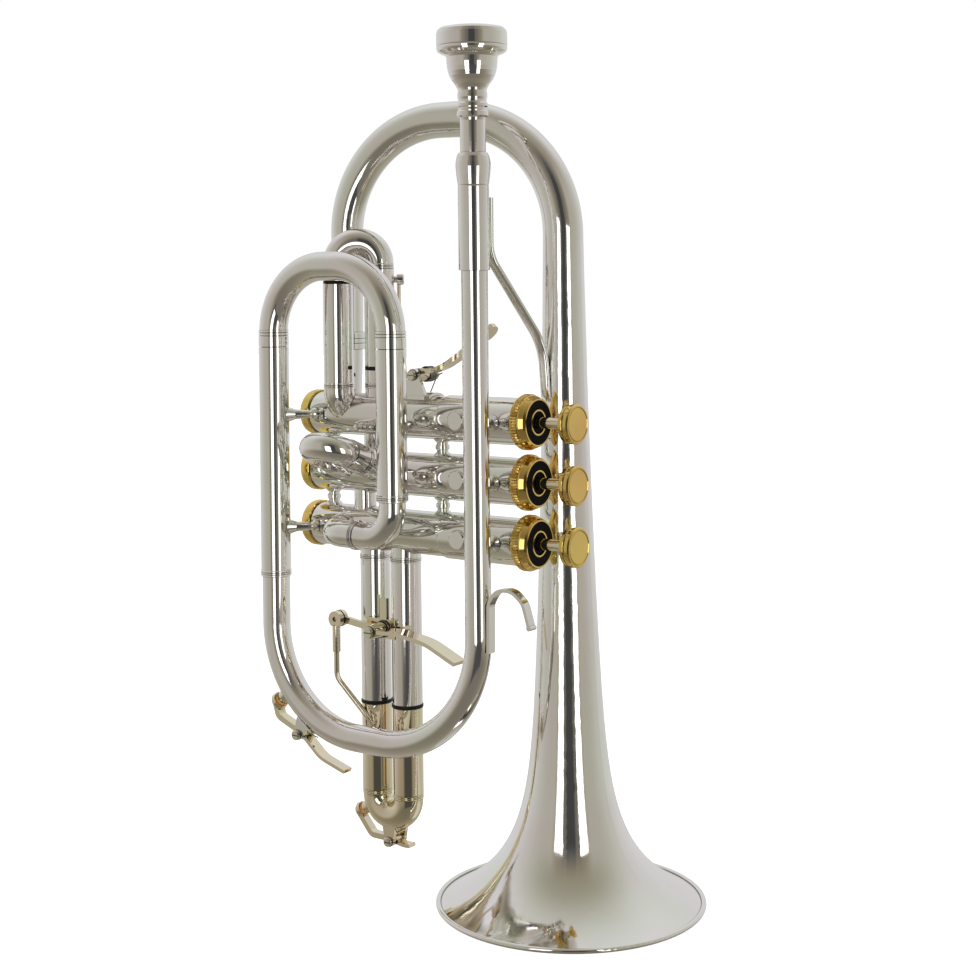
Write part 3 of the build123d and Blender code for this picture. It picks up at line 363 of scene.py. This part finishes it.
def light_room():
    """A grey studio room, dark behind the camera and brighter behind the part.

    The camera itself sees white.
    """
    world = bpy.data.worlds.new("studio")
    bpy.context.scene.world = world
    world.use_nodes = True
    tree = world.node_tree
    coordinates = tree.nodes.new("ShaderNodeTexCoord")
    split = tree.nodes.new("ShaderNodeSeparateXYZ")
    seen = along_z(tree, coordinates.outputs["Generated"], math.radians(90) - VIEW_ANGLE)
    tree.links.new(seen, split.inputs["Vector"])
    towards, across, up = split.outputs
    azimuth = calculate(tree, "ABSOLUTE", calculate(tree, "ARCTAN2", across, towards))
    height = calculate(tree, "ARCSINE", up)

    wall = degree_step(tree, azimuth, *WALL)
    for start, end, low in GAPS:
        wall = between(tree, degree_step(tree, azimuth, start, end, 0, 1), low, wall)
    ceiling = smooth_step(tree, towards, *CEILING)
    ground = smooth_step(tree, towards, *GROUND)
    level = between(tree, degree_step(tree, height, *GROUND_EDGE, 1, 0), wall, ground)
    level = between(tree, degree_step(tree, height, *CEILING_EDGE, 0, 1), level, ceiling)
    shade = calculate(tree, "MULTIPLY", degree_step(tree, azimuth, 24, 32, 1, 0),
                      calculate(tree, "MULTIPLY", degree_step(tree, height, -33, -28, 0, 1),
                                degree_step(tree, height, -15, -11, 1, 0)))
    level = between(tree, shade, level, SHADE)

    path = tree.nodes.new("ShaderNodeLightPath")
    room = tree.nodes["Background"]
    backdrop = tree.nodes.new("ShaderNodeBackground")
    backdrop.inputs["Color"].default_value = (1, 1, 1, 1)
    tree.links.new(warmed(tree, level), room.inputs["Color"])
    choose = tree.nodes.new("ShaderNodeMixShader")
    tree.links.new(path.outputs["Is Camera Ray"], choose.inputs["Fac"])
    tree.links.new(room.outputs["Background"], choose.inputs[1])
    tree.links.new(backdrop.outputs["Background"], choose.inputs[2])
    tree.links.new(choose.outputs["Shader"], tree.nodes["World Output"].inputs["Surface"])


def make_soft_boxes():
    """The two soft boxes, one on each side of the line of sight."""
    towards = Vector((math.sin(VIEW_ANGLE), -math.cos(VIEW_ANGLE), 0))
    right = Vector((math.cos(VIEW_ANGLE), math.sin(VIEW_ANGLE), 0))
    width = BOX_FAR_EDGE - BOX_NEAR_EDGE
    height = BOX_TOP - BOX_BOTTOM
    for name, side in (("soft_box_left", -1), ("soft_box_right", 1)):
        lamp = bpy.data.lights.new(name, "AREA")
        lamp.shape = "RECTANGLE"
        lamp.size = width
        lamp.size_y = height
        lamp.energy = BOX_RADIANCE * math.pi * width * height
        box = bpy.data.objects.new(name, lamp)
        box.location = towards * BOX_DISTANCE + right * side * (BOX_NEAR_EDGE + width / 2)
        box.location.z = BOX_BOTTOM + height / 2
        box.rotation_mode = "QUATERNION"
        box.rotation_quaternion = (-towards).to_track_quat("-Z", "Y")
        box.visible_camera = False
        bpy.context.scene.collection.objects.link(box)


def make_camera():
    """A level camera at the buttons' side of the front, with its lens shifted down."""
    cosine, sine = math.cos(VIEW_ANGLE), math.sin(VIEW_ANGLE)
    lens = bpy.data.cameras.new("camera")
    lens.lens = FOCAL_LENGTH
    lens.sensor_width = 36.0
    lens.shift_y = LENS_SHIFT
    lens.clip_start = 0.05
    camera = bpy.data.objects.new("camera", lens)
    camera.location = (VIEW_RIGHT * cosine + VIEW_DISTANCE * sine, VIEW_RIGHT * sine - VIEW_DISTANCE * cosine,
                       VIEW_HEIGHT)
    camera.rotation_mode = "QUATERNION"
    look = Vector((-sine, cosine, 0)).to_track_quat("-Z", "Y")
    camera.rotation_quaternion = look @ Quaternion((0, 0, 1), CAMERA_ROLL)
    bpy.context.scene.collection.objects.link(camera)
    bpy.context.scene.camera = camera


def wire(name, points, radius, body, material):
    """A round wire through points that moves with a body."""
    curve = bpy.data.curves.new(name, "CURVE")
    curve.dimensions = "3D"
    curve.bevel_depth = radius
    curve.bevel_resolution = 3
    curve.use_fill_caps = True
    line = curve.splines.new("POLY")
    line.points.add(len(points) - 1)
    for spot, place in zip(line.points, points):
        spot.co = (*place, 1)
    thing = bpy.data.objects.new(name, curve)
    bpy.context.scene.collection.objects.link(thing)
    curve.materials.append(material)
    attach(thing, body)


def on_circle(centre, radius, angle, along):
    """A point round a pivot that lies along Y. Angle 0 is +X and a quarter turn is +Z."""
    return Vector((centre.x + radius * math.cos(angle), along, centre.z + radius * math.sin(angle)))


def torsion_spring(name, joint, ends, radius, gauge, tips, bodies, material):
    """A coil round a hinge's pivot between two places along Y, with a leg on each body.

    The first leg and the coil ride on the first body.
    """
    low, high = ends
    pivot = Vector(next(j["pos_m"] for j in frame["joints"] if j["name"] == joint))
    turns = max(1, round(abs(high - low) / (COIL_PITCH * gauge)))
    bends = [math.acos(radius / math.hypot(*tip)) for tip in tips]
    angles = [math.atan2(tip[1], tip[0]) for tip in tips]
    start = angles[0] + bends[0]
    swing = (angles[1] - bends[1] - start) % (2 * math.pi) + 2 * math.pi * turns
    steps = STEPS_PER_TURN * (turns + 1)
    shares = [k / steps for k in range(steps + 1)]
    coil = [on_circle(pivot, radius, start + swing * share, low + (high - low) * share) for share in shares]
    feet = [Vector((pivot.x + tip[0], place, pivot.z + tip[1])) for tip, place in zip(tips, ends)]
    wire(f"{name}_coil", [feet[0]] + coil, gauge, bodies[0], material)
    wire(f"{name}_leg", [coil[-1], feet[1]], gauge, bodies[1], material)


def make_springs(material):
    """The torsion springs of the two water keys and the two triggers."""
    for spring in TORSION_SPRINGS:
        torsion_spring(*spring, material)


def squash_valve_springs():
    """Stands a copy, riding on the horn, in for each valve spring and hides the CAD spring. The real spring
    shortens towards its key guide as the valve goes down; the copy keeps its length.
    """
    for number in (1, 2, 3):
        node = frame["nodes"][f"valve_spring_{number}"]
        spring = bpy.data.objects.new(f"return_spring_{number}", node.data.copy())
        spring.matrix_world = node.matrix_world
        bpy.context.scene.collection.objects.link(spring)
        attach(spring, "horn")
        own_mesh(spring)
        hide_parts(f"valve_spring_{number}")


materials = make_materials()
dress_frame(materials)
make_floor()
light_room()
make_soft_boxes()
make_camera()
squash_valve_springs()
make_springs(polished("spring_wire", WIRE, 0.12, 0.25))
bpy.context.scene.view_settings.view_transform = "Standard"
